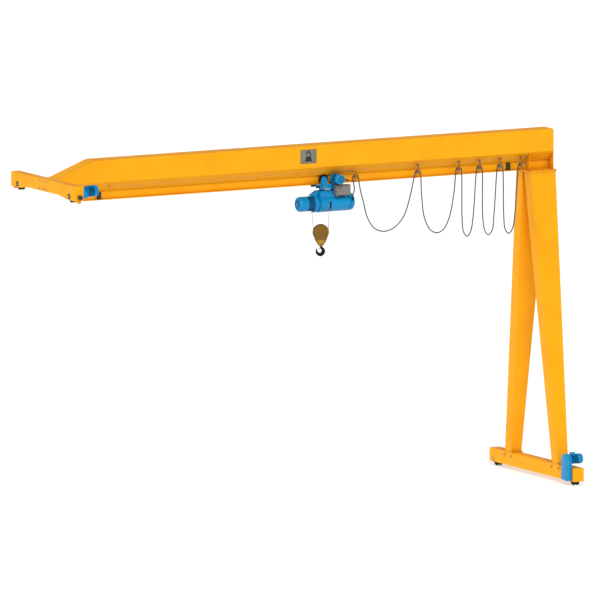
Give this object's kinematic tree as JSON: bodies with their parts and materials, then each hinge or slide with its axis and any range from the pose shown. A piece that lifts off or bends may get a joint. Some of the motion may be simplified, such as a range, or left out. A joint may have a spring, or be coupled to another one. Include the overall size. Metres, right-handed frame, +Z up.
{
  "type": "semi-gantry crane",
  "caption": "Semi-gantry crane: box girder on an A-frame leg at one end and a runway carriage at the other, with a wire-rope hoist on a trolley and a looped festoon cable.",
  "frame": {"origin": "on the floor rail's head plane, Z = 0, below the middle of the machine's whole length and on the girder's centre line", "axes": "+X along the girder towards the leg, +Y across it away from the festoon side, +Z up"},
  "size_m": [12.427, 3.76, 7.58],
  "materials": {
    "crane_yellow": "semi-gloss enamel",
    "hoist_blue": "semi-gloss enamel",
    "steel": "zinc plated, worn",
    "black_iron": "dark, oiled",
    "rubber": "matte",
    "block_ochre": "worn enamel over dark primer",
    "plate_grey": "satin",
    "box_grey": "satin",
    "cable": "matte sheath",
    "rope_steel": "stranded wire, greased"
  },
  "bodies": {
    "crane_frame": {"girder_box": "crane_yellow", "girder_end_plate": "crane_yellow", "girder_nose_plate": "crane_yellow", "track_beam": "crane_yellow", "trolley_stop_left": "rubber", "trolley_stop_right": "rubber", "girder_seat": "crane_yellow", "leg_top_flange": "crane_yellow", "leg_near": "crane_yellow", "leg_far": "crane_yellow", "ground_beam": "crane_yellow", "runway_carriage": "crane_yellow", "runway_buffer_near": "rubber", "runway_buffer_far": "rubber", "rail_sweeper_near": "crane_yellow", "rail_sweeper_far": "crane_yellow", "ground_drive_reducer": "hoist_blue", "ground_drive_motor": "hoist_blue", "runway_drive_reducer": "hoist_blue", "runway_drive_motor": "hoist_blue", "festoon_wire": "steel", "festoon_end_clamp": "steel", "festoon_cable": "cable", "capacity_plate": "plate_grey"},
    "trolley": {"trolley_plate_near": "hoist_blue", "trolley_plate_far": "hoist_blue", "hanger_shaft_left": "steel", "hanger_shaft_right": "steel", "trolley_gearcase": "hoist_blue", "trolley_motor": "hoist_blue", "tow_arm": "steel", "drum_casing": "hoist_blue", "coupling_housing": "hoist_blue", "hoist_motor": "hoist_blue", "hoist_gearbox": "hoist_blue", "control_box": "box_grey"},
    "hoist_drum": {"rope_drum": "steel"},
    "hook_block": {"hook_block_frame": "block_ochre", "sheave_pin": "steel", "hoist_rope": "rope_steel"},
    "sheave": {"rope_sheave": "black_iron"},
    "crosshead": {"crosshead": "steel"},
    "hook": {"hook": "black_iron"},
    "ground_wheel_near": {"ground_wheel_near": "black_iron", "ground_axle_near": "steel"},
    "ground_wheel_far": {"ground_wheel_far": "black_iron", "ground_axle_far": "steel"},
    "runway_wheel_near": {"runway_wheel_near": "black_iron", "runway_axle_near": "steel"},
    "runway_wheel_far": {"runway_wheel_far": "black_iron", "runway_axle_far": "steel"},
    "trolley_wheel_near_left": {"trolley_wheel_near_left": "black_iron"},
    "trolley_wheel_near_right": {"trolley_wheel_near_right": "black_iron"},
    "trolley_wheel_far_left": {"trolley_wheel_far_left": "black_iron"},
    "trolley_wheel_far_right": {"trolley_wheel_far_right": "black_iron"},
    "festoon_carrier_1": {"festoon_carrier_1": "steel"},
    "festoon_carrier_2": {"festoon_carrier_2": "steel"},
    "festoon_carrier_3": {"festoon_carrier_3": "steel"},
    "festoon_carrier_4": {"festoon_carrier_4": "steel"}
  },
  "joints": [
    {"name": "ground_wheel_near_spin", "type": "hinge", "parent": "crane_frame", "child": "ground_wheel_near", "pos_m": [5.8985, -1.71, 0.14], "axis": [1, 0, 0], "continuous": true},
    {"name": "ground_wheel_far_spin", "type": "hinge", "parent": "crane_frame", "child": "ground_wheel_far", "pos_m": [5.8985, 1.71, 0.14], "axis": [1, 0, 0], "continuous": true},
    {"name": "runway_wheel_near_spin", "type": "hinge", "parent": "crane_frame", "child": "runway_wheel_near", "pos_m": [-6.1015, -1.19, 6.995], "axis": [1, 0, 0], "continuous": true},
    {"name": "runway_wheel_far_spin", "type": "hinge", "parent": "crane_frame", "child": "runway_wheel_far", "pos_m": [-6.1015, 1.19, 6.995], "axis": [1, 0, 0], "continuous": true},
    {"name": "trolley_travel", "type": "slide", "parent": "crane_frame", "child": "trolley", "axis": [1, 0, 0], "range_m": [-4.9, 2.9], "deforming": ["festoon_cable"]},
    {"name": "trolley_wheel_near_left_spin", "type": "hinge", "parent": "trolley", "child": "trolley_wheel_near_left", "pos_m": [0.5985, 0, 6.8103], "axis": [0, 1, 0], "range_deg": [-3200, 2000]},
    {"name": "trolley_wheel_near_right_spin", "type": "hinge", "parent": "trolley", "child": "trolley_wheel_near_right", "pos_m": [0.8785, 0, 6.8103], "axis": [0, 1, 0], "range_deg": [-3200, 2000]},
    {"name": "trolley_wheel_far_left_spin", "type": "hinge", "parent": "trolley", "child": "trolley_wheel_far_left", "pos_m": [0.5985, 0, 6.8103], "axis": [0, 1, 0], "range_deg": [-3200, 2000]},
    {"name": "trolley_wheel_far_right_spin", "type": "hinge", "parent": "trolley", "child": "trolley_wheel_far_right", "pos_m": [0.8785, 0, 6.8103], "axis": [0, 1, 0], "range_deg": [-3200, 2000]},
    {"name": "hook_lift", "type": "slide", "parent": "trolley", "child": "hook_block", "axis": [0, 0, 1], "range_m": [-5, 0.15], "deforming": ["hoist_rope"]},
    {"name": "drum_spin", "type": "hinge", "parent": "trolley", "child": "hoist_drum", "pos_m": [0.8285, 0, 6.29], "axis": [1, 0, 0], "range_deg": [-3800, 200]},
    {"name": "sheave_spin", "type": "hinge", "parent": "hook_block", "child": "sheave", "pos_m": [0.512, -0.1075, 5.672], "axis": [0.2431, 0.97, 0], "range_deg": [-1850, 100]},
    {"name": "crosshead_tilt", "type": "hinge", "parent": "hook_block", "child": "crosshead", "pos_m": [0.512, -0.1075, 5.417], "axis": [0.2431, 0.97, 0], "range_deg": [-4, 4]},
    {"name": "hook_swivel", "type": "hinge", "parent": "crosshead", "child": "hook", "pos_m": [0.512, -0.1075, 5.417], "axis": [0, 0, 1], "continuous": true},
    {"name": "festoon_carrier_1_slide", "type": "slide", "parent": "crane_frame", "child": "festoon_carrier_1", "axis": [1, 0, 0], "range_m": [-3.564, 2.124]},
    {"name": "festoon_carrier_2_slide", "type": "slide", "parent": "crane_frame", "child": "festoon_carrier_2", "axis": [1, 0, 0], "range_m": [-2.079, 1.239]},
    {"name": "festoon_carrier_3_slide", "type": "slide", "parent": "crane_frame", "child": "festoon_carrier_3", "axis": [1, 0, 0], "range_m": [-1.386, 0.826]},
    {"name": "festoon_carrier_4_slide", "type": "slide", "parent": "crane_frame", "child": "festoon_carrier_4", "axis": [1, 0, 0], "range_m": [-0.693, 0.413]}
  ],
  "couplings": [
    {"joint": "trolley_wheel_near_left_spin", "follows": "trolley_travel", "rad_per_m": 10.526},
    {"joint": "trolley_wheel_near_right_spin", "follows": "trolley_travel", "rad_per_m": 10.526},
    {"joint": "trolley_wheel_far_left_spin", "follows": "trolley_travel", "rad_per_m": 10.526},
    {"joint": "trolley_wheel_far_right_spin", "follows": "trolley_travel", "rad_per_m": 10.526},
    {"joint": "drum_spin", "follows": "hook_lift", "rad_per_m": 12.903},
    {"joint": "sheave_spin", "follows": "hook_lift", "rad_per_m": 6.135},
    {"joint": "festoon_carrier_1_slide", "follows": "trolley_travel", "ratio": 0.72},
    {"joint": "festoon_carrier_2_slide", "follows": "trolley_travel", "ratio": 0.42},
    {"joint": "festoon_carrier_3_slide", "follows": "trolley_travel", "ratio": 0.28},
    {"joint": "festoon_carrier_4_slide", "follows": "trolley_travel", "ratio": 0.14}
  ]
}
